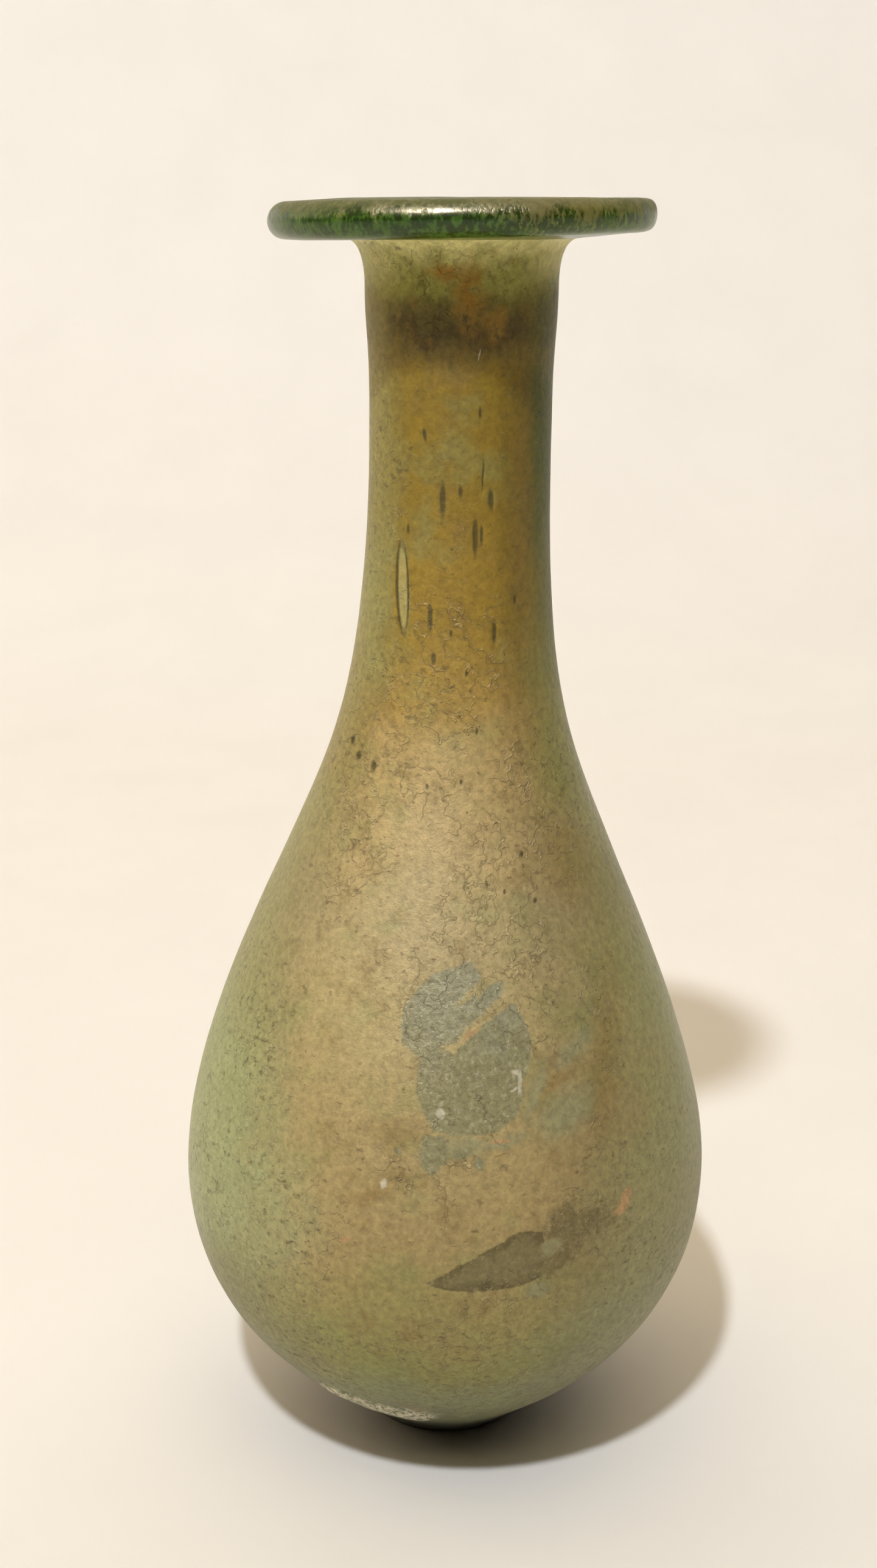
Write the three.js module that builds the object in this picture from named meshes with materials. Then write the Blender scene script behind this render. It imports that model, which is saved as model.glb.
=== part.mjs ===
// A free-blown glass perfume flask: pear-shaped body, long neck and a wide folded rim, in one piece.
// Millimetres, +Z up. The origin is the centre of the base, on the surface that the flask stands on.
// +X is the viewer's right when the flask is seen from the front, along +Y.
import * as THREE from 'three';

const { clamp, lerp, smoothstep } = THREE.MathUtils;

// Driving dimensions of the outside
const HEIGHT = 130;
const BELLY_DIAMETER = 56;
const BELLY_HEIGHT = 30.1;
const BASE_DIAMETER = 17.6;
const FOOT_SLOPE = 1.13;
const SHOULDER_DIAMETER = 36;
const SHOULDER_HEIGHT = 63;
const SHOULDER_SLOPE = 0.42;
const NECK_DIAMETER = 18.1;
const NECK_HEIGHT = 107.9;
const NECK_TOP_DIAMETER = 19;
const NECK_TOP_HEIGHT = 121.5;
const RIM_DIAMETER = 37.3;
const RIM_ROOT_DIAMETER = 22.6;
const RIM_UNDERSIDE = 126;
const RIM_UNDERSIDE_RISE = 0.25;
const RIM_EDGE_WIDTH = 1.9;

// Glass thickness, the funnel of the mouth, and the shallow dent that a tool left under the base
const WALL_BELLY = 1.6;
const WALL_SHOULDER = 1.8;
const WALL_NECK = 2;
const FLOOR_HEIGHT = 3.2;
const MOUTH_DIAMETER = 18.8;
const MOUTH_DEPTH = 4.8;
const KICK_DIAMETER = 10.8;
const KICK_DEPTH = 1;

// How far the blown shape strays from a true round: the neck leans to +X, and the rim droops to -X
const LEAN = 1.55;
const LEAN_START = 42;
const LEAN_END = 120;
const RIM_TOP_DROOP = 0.4;
const RIM_UNDERSIDE_DROOP = 0.9;

// Lengths of the curve handles, which say how full each stretch of the outline is
const FOOT_FULLNESS = 8.5;
const FLOOR_FULLNESS = 12;
const BELLY_FULLNESS_BELOW = 18;
const BELLY_FULLNESS_ABOVE = 11.6;
const SHOULDER_FULLNESS_BELOW = 3.4;
const SHOULDER_FULLNESS_ABOVE = 13.8;
const NECK_FULLNESS_BELOW = 27.1;
const NECK_FULLNESS_ABOVE = 9;
const NECK_TOP_FULLNESS = 4;

// How fine the facets are: around the axis, and how far one may stray from the curve along the outline
const SEGMENTS = 64;
const FACET_ERROR = 0.1;
const SAME_POINT = 1e-6;

const bellyRadius = BELLY_DIAMETER / 2;
const shoulderRadius = SHOULDER_DIAMETER / 2;
const neckRadius = NECK_DIAMETER / 2;
const neckTopRadius = NECK_TOP_DIAMETER / 2;
const rimRadius = RIM_DIAMETER / 2;
const baseRadius = BASE_DIAMETER / 2;

const glass = new THREE.MeshStandardMaterial({
  name: 'weathered_glass',
  color: 0x9d8c58,
  roughness: 0.45,
  metalness: 0,
});

const point = (radius, height) => new THREE.Vector2(radius, height);

// The dent under the base and the flat ring around it, on which the flask stands.
function baseCurves() {
  const kick = KICK_DIAMETER / 2;
  return [
    new THREE.QuadraticBezierCurve(point(0, KICK_DEPTH), point(kick / 2, KICK_DEPTH), point(kick, 0)),
    new THREE.LineCurve(point(kick, 0), point(baseRadius, 0)),
  ];
}

// The belly below its widest place, from the point that it starts at and the handle that it leaves along.
function lowerBelly(start, leaving, bellyAt) {
  return new THREE.CubicBezierCurve(
    start,
    start.clone().add(leaving),
    point(bellyAt, BELLY_HEIGHT - BELLY_FULLNESS_BELOW),
    point(bellyAt, BELLY_HEIGHT),
  );
}

// Belly to shoulder and shoulder to neck, on two curves that share one slope where they meet.
function bellyToNeck(bellyAt, shoulderAt, neckAt) {
  const shoulder = point(shoulderAt, SHOULDER_HEIGHT);
  const along = point(-SHOULDER_SLOPE, 1).normalize();
  return [
    new THREE.CubicBezierCurve(
      point(bellyAt, BELLY_HEIGHT),
      point(bellyAt, BELLY_HEIGHT + BELLY_FULLNESS_ABOVE),
      shoulder.clone().addScaledVector(along, -SHOULDER_FULLNESS_BELOW),
      shoulder,
    ),
    new THREE.CubicBezierCurve(
      shoulder,
      shoulder.clone().addScaledVector(along, SHOULDER_FULLNESS_ABOVE),
      point(neckAt, NECK_HEIGHT - NECK_FULLNESS_BELOW),
      point(neckAt, NECK_HEIGHT),
    ),
  ];
}

// The neck above its narrowest place, opening slightly towards the rim.
function neckToTop(neckAt, topAt) {
  return new THREE.CubicBezierCurve(
    point(neckAt, NECK_HEIGHT),
    point(neckAt, NECK_HEIGHT + NECK_FULLNESS_ABOVE),
    point(topAt, NECK_TOP_HEIGHT - NECK_TOP_FULLNESS),
    point(topAt, NECK_TOP_HEIGHT),
  );
}

// The folded rim, from the neck out along its underside, round its edge and in along its top.
function rimCurves() {
  const root = RIM_ROOT_DIAMETER / 2;
  const edge = rimRadius - RIM_EDGE_WIDTH;
  const underEdge = RIM_UNDERSIDE + RIM_UNDERSIDE_RISE;
  const middle = (underEdge + HEIGHT) / 2;
  const halfTurn = Math.PI / 2;
  return [
    new THREE.QuadraticBezierCurve(
      point(neckTopRadius, NECK_TOP_HEIGHT),
      point(neckTopRadius, RIM_UNDERSIDE),
      point(root, RIM_UNDERSIDE),
    ),
    new THREE.LineCurve(point(root, RIM_UNDERSIDE), point(edge, underEdge)),
    new THREE.EllipseCurve(edge, middle, RIM_EDGE_WIDTH, HEIGHT - middle, -halfTurn, halfTurn),
    new THREE.LineCurve(point(edge, HEIGHT), point(MOUTH_DIAMETER / 2, HEIGHT)),
  ];
}

// The funnel of the mouth, from the rim's top down to the neck's bore.
function mouthCurves(boreAt) {
  const funnelFoot = point(boreAt, HEIGHT - MOUTH_DEPTH);
  return [
    new THREE.LineCurve(point(boreAt, NECK_TOP_HEIGHT), funnelFoot),
    new THREE.QuadraticBezierCurve(funnelFoot, point(boreAt, HEIGHT), point(MOUTH_DIAMETER / 2, HEIGHT)),
  ];
}

// How far a curve's middle between two corners lies from the straight facet that joins them.
function facetError(curve, corners, i) {
  const chord = corners[i + 1].clone().sub(corners[i]);
  const middle = curve.getPoint((i + 0.5) / (corners.length - 1)).sub(corners[i]);
  return Math.abs(chord.cross(middle)) / chord.length();
}

// Points along a curve, as few as keep every facet within FACET_ERROR of it.
function facetPoints(curve) {
  let corners;
  let errors;
  let steps = 0;
  do {
    steps += 1;
    corners = curve.getPoints(steps);
    errors = corners.slice(1).map((corner, i) => facetError(curve, corners, i));
  } while (Math.max(...errors) > FACET_ERROR);
  return corners;
}

// The whole section: from the axis up the outside and over the rim, then down the inside to the axis.
function flaskSection() {
  const innerBelly = bellyRadius - WALL_BELLY;
  const bore = neckRadius - WALL_NECK;
  const boreTop = neckTopRadius - WALL_NECK;
  const footHandle = point(1, FOOT_SLOPE).setLength(FOOT_FULLNESS);
  const outside = [
    ...baseCurves(),
    lowerBelly(point(baseRadius, 0), footHandle, bellyRadius),
    ...bellyToNeck(bellyRadius, shoulderRadius, neckRadius),
    neckToTop(neckRadius, neckTopRadius),
    ...rimCurves(),
  ];
  const inside = [
    lowerBelly(point(0, FLOOR_HEIGHT), point(FLOOR_FULLNESS, 0), innerBelly),
    ...bellyToNeck(innerBelly, shoulderRadius - WALL_SHOULDER, bore),
    neckToTop(bore, boreTop),
    ...mouthCurves(boreTop),
  ];
  const section = [...outside.flatMap(facetPoints), ...inside.flatMap(facetPoints).reverse()];
  return section.filter((here, i) => i === 0 || here.distanceTo(section[i - 1]) > SAME_POINT);
}

// Leans the neck and droops one side of the rim, as the hot glass did when it left the blowpipe.
function settleGlass(geometry) {
  const position = geometry.getAttribute('position');
  for (let i = 0; i < position.count; i++) {
    const x = position.getX(i);
    const y = position.getY(i);
    const z = position.getZ(i);
    const across = x / rimRadius;
    const outward = smoothstep(Math.hypot(x, y), neckTopRadius, rimRadius);
    const upRim = clamp((z - RIM_UNDERSIDE) / (HEIGHT - RIM_UNDERSIDE), 0, 1);
    const underDroop = RIM_UNDERSIDE_DROOP * across / 2;
    const topDroop = RIM_TOP_DROOP * (across - 1) / 2;
    const droop = z > NECK_TOP_HEIGHT ? outward * lerp(underDroop, topDroop, upRim) : 0;
    position.setX(i, x + LEAN * smoothstep(z, LEAN_START, LEAN_END));
    position.setZ(i, z + droop);
  }
  geometry.computeVertexNormals();
  return geometry;
}

const turned = new THREE.LatheGeometry(flaskSection(), SEGMENTS).rotateX(Math.PI / 2);
const body = new THREE.Mesh(settleGlass(turned), glass);
body.name = 'flask';

const flask = new THREE.Group();
flask.name = 'glass_perfume_flask';
flask.add(body);

export default flask;
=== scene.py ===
"""An ancient free-blown glass perfume flask, dressed over its solid.

The flask is one piece of green glass under a tan weathering film: a pear-shaped body, a long neck with a
dark deposit below the mouth, and a wide folded rim of bare, glossy glass. Sizes and places are in
millimetres until a mesh or a material takes them. +X is the viewer's right, and the front faces -Y.
"""
import logging
import math
from collections.abc import Iterable, Sequence
from dataclasses import dataclass, field
from enum import Enum
from functools import cache, reduce
from itertools import pairwise

import bpy
import numpy as np
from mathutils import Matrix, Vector
from mathutils.geometry import interpolate_bezier


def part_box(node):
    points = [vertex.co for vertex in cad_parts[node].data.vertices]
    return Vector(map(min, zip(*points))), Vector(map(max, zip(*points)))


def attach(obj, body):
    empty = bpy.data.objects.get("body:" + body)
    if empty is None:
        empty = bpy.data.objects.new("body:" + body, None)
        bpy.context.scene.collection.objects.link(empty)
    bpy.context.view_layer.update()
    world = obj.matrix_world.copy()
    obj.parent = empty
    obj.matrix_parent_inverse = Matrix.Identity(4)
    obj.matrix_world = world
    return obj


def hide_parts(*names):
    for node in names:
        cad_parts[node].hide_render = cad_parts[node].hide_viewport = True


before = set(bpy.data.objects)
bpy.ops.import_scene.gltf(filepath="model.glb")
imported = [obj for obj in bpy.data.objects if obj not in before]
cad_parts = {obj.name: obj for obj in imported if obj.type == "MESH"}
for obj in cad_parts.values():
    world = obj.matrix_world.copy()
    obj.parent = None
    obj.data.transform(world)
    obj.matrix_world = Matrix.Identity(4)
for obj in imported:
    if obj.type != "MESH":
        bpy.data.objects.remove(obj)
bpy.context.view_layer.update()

LOG = logging.getLogger("flask")
MM = 0.001
NODE = "flask"
BODY = "root"

# For patterns: the noise that tears edges, how far it strays, and where the back lies for marks on the front
MAPPING = "ShaderNodeMapping"
TOOTH_DETAIL = (2.0, 0.5)
NOISE_SPREAD = 4.0
FAR_OFF = 1000.0
# For the mesh: how many points measure a curve, how near two points are one, and the slack of an edge
MEASURING_POINTS = 17
SAME_POINT = MM / 1000
EDGE_SLACK = 0.01

Point = tuple[float, float]
Triple = tuple[float, float, float]
Linear = tuple[float, float, float, float]
# A share's start, its end and the most it reaches, and a noise's size in millimetres, detail and roughness
Step = tuple[float, float, float]
Cloud = tuple[float, float, float]
Band = tuple[float, str]
Socket = bpy.types.NodeSocket


class Zone(Enum):
    """A stretch of the wall with a finish of its own, and the number of its material slot."""

    FILM = 0
    RIM = 1
    INSIDE = 2

    @property
    def group(self) -> str:
        """The vertex group that holds the stretch."""
        return self.name.lower()


class Run(Enum):
    """How a number runs from one end to the other."""

    EASED = "SMOOTHSTEP"
    EVEN = "LINEAR"


@dataclass(frozen=True)
class Mark:
    """An oval place on the front of the flask, seen along +Y, in millimetres and degrees."""

    x: float
    z: float
    half_width: float
    half_height: float
    tilt: float = 0.0

    def axes(self) -> list[Triple]:
        """Works out the directions of the width and the height, as shares of half of each.

        Returns:
            Vectors whose products with (x, 1, z) say how far out a point lies, 1 being on the edge.
        """
        cosine, sine = math.cos(math.radians(self.tilt)), math.sin(math.radians(self.tilt))
        ways = [(cosine / self.half_width, sine / self.half_width)]
        ways.append((-sine / self.half_height, cosine / self.half_height))
        return [(across, -across * self.x - up * self.z, up) for across, up in ways]

    def reach(self, x: np.ndarray, z: np.ndarray) -> np.ndarray:
        """Works out how far out points lie from the middle: 1 on the edge, and more outside."""
        return np.hypot(*(across * x + offset + up * z for across, offset, up in self.axes()))


@dataclass(frozen=True)
class Shard:
    """A place on the front with straight sides: convex, its corners counter-clockwise, seen along +Y."""

    corners: Sequence[Point]

    def sides(self) -> list[Triple]:
        """Works out the sides: each one's outward direction, and minus its distance from the origin between.

        Returns:
            Vectors whose product with (x, 1, z) is how far a point lies outside the side.
        """
        found = []
        for (x, z), (next_x, next_z) in zip(self.corners, [*self.corners[1:], self.corners[0]]):
            out = Vector((next_z - z, x - next_x)).normalized()
            found.append((out.x, -out.dot((x, z)), out.y))
        return found

    def beyond(self, x: np.ndarray, z: np.ndarray) -> np.ndarray:
        """Works out how far points lie outside, in millimetres, less than 0 inside."""
        return np.max([across * x + offset + up * z for across, offset, up in self.sides()], axis=0)


# Where the film flaked away in a grey-green patch: its lobes, left apart by two scratches of film
FLAKE = (
    Shard(((-2.6, 51.2), (1.2, 52.6), (2.6, 55.1), (3.4, 58.2), (2.5, 59.7), (0.5, 59.1), (-1.1, 58.6),
           (-2.6, 57.2), (-3.9, 55.5), (-4.4, 53.8), (-4.1, 52.2))),
    Shard(((0.5, 53.8), (1.2, 53.2), (3.2, 54.5), (5.4, 56.4), (5.5, 57.7), (4.1, 57.2), (2.6, 55.9))),
    Shard(((0.5, 51.3), (4.3, 48.4), (7.5, 48.4), (8.2, 50.9), (8.3, 52.3), (7.7, 53.8), (6.7, 55.5),
           (5.6, 55.5), (3.9, 54.1), (1.9, 52.9))),
    Shard(((-2.8, 48.0), (-2.1, 46.2), (-1.2, 44.6), (0.8, 44.0), (5.3, 44.4), (6.9, 45.4), (7.5, 47.2),
           (7.5, 49.2), (4.3, 50.3), (0.5, 53.0), (-2.6, 52.0))),
    Shard(((-2.6, 42.1), (-2.1, 40.8), (-1.2, 40.4), (0.0, 41.6), (0.3, 42.9), (-0.2, 44.1), (-2.1, 44.3))),
)
FLAKE_SCRATCHES = (Mark(2.7, 57.0, 2.0, 0.32, 40), Mark(3.6, 54.5, 2.6, 0.36, 41))
FLAKE_SPOTS = (Mark(1.6, 42.5, 0.9, 0.5, 15), Mark(3.2, 41.5, 0.5, 0.6), Mark(-4.6, 42.6, 0.3, 0.4))
FAINT_FLAKE = (
    Mark(12.5, 50.6, 2.0, 0.9, 35), Mark(11.6, 45, 2.7, 1.9, 20), Mark(8.6, 47.4, 0.7, 2.6, -20),
    Mark(1.5, 43.0, 2.6, 0.9, 5), Mark(5.5, 43.2, 2.4, 0.5, 8),
)
# A darker patch low on the right: a blade, and the rags that it breaks into
BLADE = (
    Shard(((-1.9, 29.8), (-0.6, 29.2), (2.3, 28.8), (6.9, 28.9), (9.0, 29.6), (9.7, 31.5), (9.4, 34.3),
           (7.1, 34.7), (2.8, 32.5))),
)
BLADE_RAGS = (
    Shard(((8.8, 34.6), (9.4, 32.6), (12.0, 31.6), (14.7, 32.2), (16.3, 33.0), (16.5, 34.6), (15.0, 35.5),
           (12.6, 36.5), (10.3, 36.1))),
    Shard(((8.3, 29.6), (10.0, 28.8), (12.0, 30.2), (13.8, 31.4), (12.0, 32.6), (9.0, 32.0))),
)
BLADE_HOLES = (Mark(10.3, 32.6, 1.3, 0.9, 25), Mark(8.9, 28.2, 1.2, 0.8, 10))
BLADE_HALO = (Mark(12.5, 27.0, 4.0, 3.0, 20), Mark(16.0, 31.0, 2.6, 3.0))
# Rust-brown stains, and single flecks of orange and white
STAINS = (
    Mark(15.8, 49.4, 1.5, 6.5, -4), Mark(11.9, 67.5, 2.3, 4.2, 20), Mark(10.4, 47.6, 2.8, 0.5, 30),
    Mark(7.3, 101.0, 1.0, 13.0), Mark(-7.3, 38.0, 2.4, 0.8, 20), Mark(-4.6, 44.0, 2.0, 1.4, 20),
)
ORANGE_FLECKS = (
    Mark(17.8, 35.3, 0.5, 0.9, -12), Mark(17.4, 34.4, 0.9, 0.5, 20), Mark(2.4, 53.2, 0.9, 0.18, 38),
    Mark(5.2, 43.4, 0.9, 0.2), Mark(-9.8, 33.4, 0.5, 0.2, 20),
)
WHITE_FLECKS = (
    Mark(7.1, 48.6, 0.22, 1.1), Mark(6.7, 49.5, 0.4, 0.2, -10), Mark(6.5, 47.9, 0.4, 0.15, 20),
    Mark(-0.5, 46.1, 0.38, 0.5), Mark(-6.0, 39.4, 0.3, 0.5, -20),
    Mark(3.1, 115.9, 0.06, 0.5, -8),
)
# Bubbles that were drawn out along the neck when the glass was blown
LONG_BUBBLE = (Mark(-4.2, 93.8, 0.67, 4.47, 1),)
BUBBLE_HEART = (Mark(-4.15, 93.8, 0.4154, 4.023, 1),)
BUBBLES = (
    Mark(-2, 108.5, 0.19, 0.61, 8), Mark(-0.3, 102.4, 0.28, 1.58), Mark(1.4, 103.2, 0.19, 0.56),
    Mark(4.3, 102.4, 0.24, 1.03, 3), Mark(2.8, 98.9, 0.26, 1.77), Mark(3.4, 99.1, 0.16, 0.89),
    Mark(-3.6, 99.5, 0.15, 0.47), Mark(-1.5, 91, 0.24, 1.21), Mark(4.7, 89.6, 0.2, 1),
    Mark(-1.2, 87.2, 0.24, 0.56), Mark(3.5, 104.8, 0.1, 1.4, -3), Mark(2.0, 85.8, 0.15, 0.3),
    Mark(0.5, 89.7, 0.14, 0.3), Mark(6.7, 92.6, 0.14, 0.4), Mark(3.2, 110.6, 0.13, 0.5),
    Mark(-8.6, 77, 0.24, 0.42, -15), Mark(-7.1, 76.4, 0.25, 0.56, -15), Mark(-9.2, 78.2, 0.19, 0.47, -15),
    Mark(-1.8, 75.1, 0.15, 0.25), Mark(1.5, 75.6, 0.15, 0.25), Mark(7.4, 68.6, 0.18, 0.3),
    Mark(8.7, 64.3, 0.2, 0.25), Mark(5.7, 65.5, 0.15, 0.25), Mark(3.0, 80.3, 0.15, 0.3),
)
# The deposit's brightest ochre, below the rim, and the pale crust by the base
DEPOSIT_GLOW = (Mark(2.1, 121.4, 1.1, 3.0), Mark(4.4, 118.3, 0.9, 1.4), Mark(0.2, 123.4, 1.6, 0.6))
CRUST = (Mark(-10.0, 10.2, 3.2, 1.0, -24), Mark(-6.4, 8.8, 3.0, 1.4, -14), Mark(-3.4, 8.3, 2.2, 1.7))


def linear(hex_colour: str) -> Linear:
    """Turns an sRGB hex colour into the linear colour that a shader takes, with an alpha of 1."""
    parts = [int(hex_colour[i:i + 2], 16) / 255 for i in (1, 3, 5)]
    return *(c / 12.92 if c <= 0.04045 else ((c + 0.055) / 1.055) ** 2.4 for c in parts), 1.0


def smooth_step(value: np.ndarray, low: float, high: float) -> np.ndarray:
    """Eases numbers from 0, at low, to 1, at high."""
    share = np.clip((value - low) / (high - low), 0, 1)
    return share * share * (3 - 2 * share)


def draw_chain(name: str, corners: Sequence[Vector]) -> bpy.types.Object:
    """Draws a line of edges, each extruded from the one before, and leaves it selected in edit mode.

    Args:
        name: The new object's name.
        corners: The line's corners, in metres.

    Returns:
        The new object.
    """
    bpy.ops.object.select_all(action="DESELECT")
    bpy.ops.mesh.primitive_plane_add(size=MM, location=(0.0, 0.0, 0.0))
    chain = bpy.context.object
    chain.name = name
    bpy.ops.object.mode_set(mode="EDIT")
    bpy.ops.mesh.select_all(action="SELECT")
    bpy.ops.mesh.merge(type="CENTER")
    bpy.ops.transform.translate(value=corners[0])
    for here, there in zip(corners, corners[1:]):
        bpy.ops.mesh.extrude_vertices_move(TRANSFORM_OT_translate={"value": there - here})
    bpy.ops.mesh.select_all(action="SELECT")
    return chain


@dataclass(eq=False)
class Finish:
    """A material under way: its nodes, the coordinates that its patterns share, and the colour so far.

    A place is in millimetres. Around is how far a point's side of the flask faces left or right: -1 at the
    far left, 0 on the front and the back, and 1 at the far right.
    """

    name: str

    def __post_init__(self) -> None:
        """Makes an empty material with places in millimetres."""
        self.material = bpy.data.materials.new(self.name)
        self.material.use_nodes = True
        self.tree = self.material.node_tree
        self.tree.nodes.clear()
        self.colour: Socket | None = None
        coordinates = self.add("ShaderNodeTexCoord").node.outputs
        self.place = self.add(MAPPING, {"Vector": coordinates["Object"], "Scale": (1 / MM, 1 / MM, 1 / MM)})
        self.x, self.y, self.z = self.add("ShaderNodeSeparateXYZ", {0: self.place}).node.outputs
        level = self.vector("MULTIPLY", coordinates["Normal"], (1.0, 1.0, 0.0))
        self.around = self.add("ShaderNodeSeparateXYZ", {0: self.vector("NORMALIZE", level)})

    def add(self, kind: str, inputs: dict | None = None, **settings: object) -> Socket | None:
        """Adds a node with its settings and links.

        Args:
            kind: The node's type.
            inputs: Values or sockets, by the name or the number of the live input that takes them.
            settings: The node's own properties.

        Returns:
            The node's first live output, or None where it has none.
        """
        node = self.tree.nodes.new(kind)
        for name, value in settings.items():
            setattr(node, name, value)
        live = [socket for socket in node.inputs if socket.enabled]
        for key, value in (inputs or {}).items():
            socket = live[key] if isinstance(key, int) else next(s for s in live if s.name == key)
            if isinstance(value, bpy.types.NodeSocket):
                self.tree.links.new(value, socket)
            else:
                socket.default_value = value
        return next((socket for socket in node.outputs if socket.enabled), None)

    def number(self, operation: str, *numbers: Socket | float) -> Socket:
        """Works out a number from others."""
        return self.add("ShaderNodeMath", dict(enumerate(numbers)), operation=operation)

    def vector(self, operation: str, *parts: Socket | Triple) -> Socket:
        """Works out a place, a colour or a length from places or colours."""
        return self.add("ShaderNodeVectorMath", dict(enumerate(parts)), operation=operation)

    def join(self, numbers: Iterable[Socket], operation: str = "MINIMUM") -> Socket:
        """Joins several numbers into one: the least of them, where the operation doesn't say otherwise."""
        return reduce(lambda one, other: self.number(operation, one, other), numbers)

    def blend(self, share: Socket, under: Socket | str, over: Socket | str) -> Socket:
        """Lays one colour over another, by a share from 0 to 1."""
        under, over = (linear(colour) if isinstance(colour, str) else colour for colour in (under, over))
        return self.add("ShaderNodeMix", {"Factor": share, "A": under, "B": over}, data_type="RGBA")

    def lay(self, share: Socket, over: Socket | str) -> None:
        """Lays a colour over the colour so far, by a share from 0 to 1."""
        self.colour = self.blend(share, self.colour, over)

    def shade(self, colour: Socket | str, factor: Socket) -> Socket:
        """Makes a colour lighter or darker."""
        return self.vector("MULTIPLY", linear(colour)[:3] if isinstance(colour, str) else colour, factor)

    def share(self, mask: Socket, part: float) -> Socket:
        """Thins a mask to part of its strength."""
        return self.number("MULTIPLY", mask, part)

    def drawn_out(self, up: float) -> Socket:
        """Works out places with their heights multiplied, for patterns that stand tall or lie flat."""
        return self.add(MAPPING, {"Vector": self.place, "Scale": (1.0, 1.0, up)})

    @cache
    def noise(self, size: float, detail: float, rough: float, place: Socket | None = None) -> Socket:
        """Makes cloudy noise around 0.5, once for all that ask for the same, at a place of its own or not."""
        settings = {"Vector": place or self.place, "Scale": 1 / size, "Detail": detail, "Roughness": rough}
        return self.add("ShaderNodeTexNoise", settings)

    @cache
    def wander(self, grit: float) -> Socket:
        """Makes noise around 0 in three directions, of a size in millimetres."""
        noise = self.noise(grit, *TOOTH_DETAIL).node.outputs["Color"]
        return self.vector("SUBTRACT", noise, (0.5, 0.5, 0.5))

    def stray(self, value: Socket, noise: Socket, reach: float) -> Socket:
        """Lets a number wander with noise, as far as the reach in all."""
        return self.number("MULTIPLY_ADD", self.number("SUBTRACT", noise, 0.5), reach, value)

    def step(self, value: Socket, low: float, high: float, top: float = 1.0, bottom: float = 0.0,
             run: Run = Run.EASED) -> Socket:
        """Runs from the bottom number, where the value is low, to the top number, where it is high."""
        ends = {"From Min": low, "From Max": high, "To Min": bottom, "To Max": top}
        return self.add("ShaderNodeMapRange", {"Value": value, **ends}, interpolation_type=run.value)

    def bands(self, colours: Sequence[Band], level: Socket) -> Socket:
        """Runs from colour to colour up the flask.

        Args:
            colours: Heights in millimetres with the colours there, from low to high.
            level: The height to read them at.

        Returns:
            The colour.
        """
        bottom, top = colours[0][0], colours[-1][0]
        mixed = self.add("ShaderNodeValToRGB", {"Fac": self.step(level, bottom, top, run=Run.EVEN)})
        ramp = mixed.node.color_ramp
        ramp.interpolation = "EASE"
        ramp.elements.remove(ramp.elements[1])
        ramp.elements[0].color = linear(colours[0][1])
        for height, colour in colours[1:]:
            ramp.elements.new((height - bottom) / (top - bottom)).color = linear(colour)
        return mixed

    def ramp(self, stops: Sequence[Point], level: Socket) -> Socket:
        """Runs from number to number, by stops that say the level and the number there, from low to high."""
        steps = [self.step(level, low, high, end - start) for (low, start), (high, end) in pairwise(stops)]
        return self.join([self.number("ADD", steps[0], stops[0][1]), *steps[1:]], "ADD")

    @cache
    def _front(self) -> Socket:
        """Works out places on the front as x, 1 and z, far to the right for the back of the flask."""
        x = self.number("MULTIPLY_ADD", self.number("MAXIMUM", self.y, 0.0), FAR_OFF, self.x)
        return self.add("ShaderNodeCombineXYZ", {"X": x, "Y": 1.0, "Z": self.z})

    def _torn(self, ragged: float, grit: float) -> Socket:
        """Lets places on the front wander a little, so that edges drawn there come out torn."""
        reach = NOISE_SPREAD * ragged
        return self.vector("MULTIPLY_ADD", self.wander(grit), (reach, 0.0, reach), self._front())

    def _square_reach(self, mark: Mark, torn: Socket) -> Socket:
        """Works out the square of how far out places lie from the middle of a mark."""
        across, up = (self.vector("DOT_PRODUCT", torn, axis) for axis in mark.axes())
        return self.number("MULTIPLY_ADD", across, across, self.number("MULTIPLY", up, up))

    def mask(self, marks: Sequence[Mark], ragged: float, soft: float, grit: float = 1.5,
             most: float = 1.0) -> Socket:
        """Works out where some marks on the front lie, with torn edges.

        Args:
            marks: The marks, which join where they overlap.
            ragged: How far their edges stray, in millimetres.
            soft: How soft their edges are, as a share of their size.
            grit: The size of the teeth along their edges, in millimetres.
            most: How much of the marks shows.

        Returns:
            The most inside the marks, and 0 outside.
        """
        torn = self._torn(ragged, grit)
        reach = self.number("SQRT", self.join(self._square_reach(mark, torn) for mark in marks))
        return self.step(reach, 1 + soft, 1 - soft, most)

    def _outside(self, shard: Shard, torn: Socket) -> Socket:
        """Works out how far places lie outside a shard."""
        return self.join((self.vector("DOT_PRODUCT", torn, side) for side in shard.sides()), "MAXIMUM")

    def beyond(self, shards: Sequence[Shard], ragged: float, grit: float = 1.2) -> Socket:
        """Works out how far places lie outside some shards, less than 0 inside, with edges as a mask's."""
        torn = self._torn(ragged, grit)
        return self.join(self._outside(shard, torn) for shard in shards)

    def finish(self, relief: Socket | None = None, **sockets: Socket | float) -> bpy.types.Material:
        """Ends the material in one surface shader of the colour so far.

        Args:
            relief: How far the surface stands out, in millimetres, or None for a flat one.
            sockets: The shader's other inputs, with underscores for the spaces in their names.

        Returns:
            The finished material.
        """
        named = {name.replace("_", " ").replace("Ior", "IOR"): value for name, value in sockets.items()}
        if relief is not None:
            named["Normal"] = self.add("ShaderNodeBump", {"Strength": 1.0, "Distance": MM, "Height": relief})
        surface = self.add("ShaderNodeBsdfPrincipled", {"Base Color": self.colour, **named})
        self.add("ShaderNodeOutputMaterial", {"Surface": surface})
        return self.material


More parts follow.
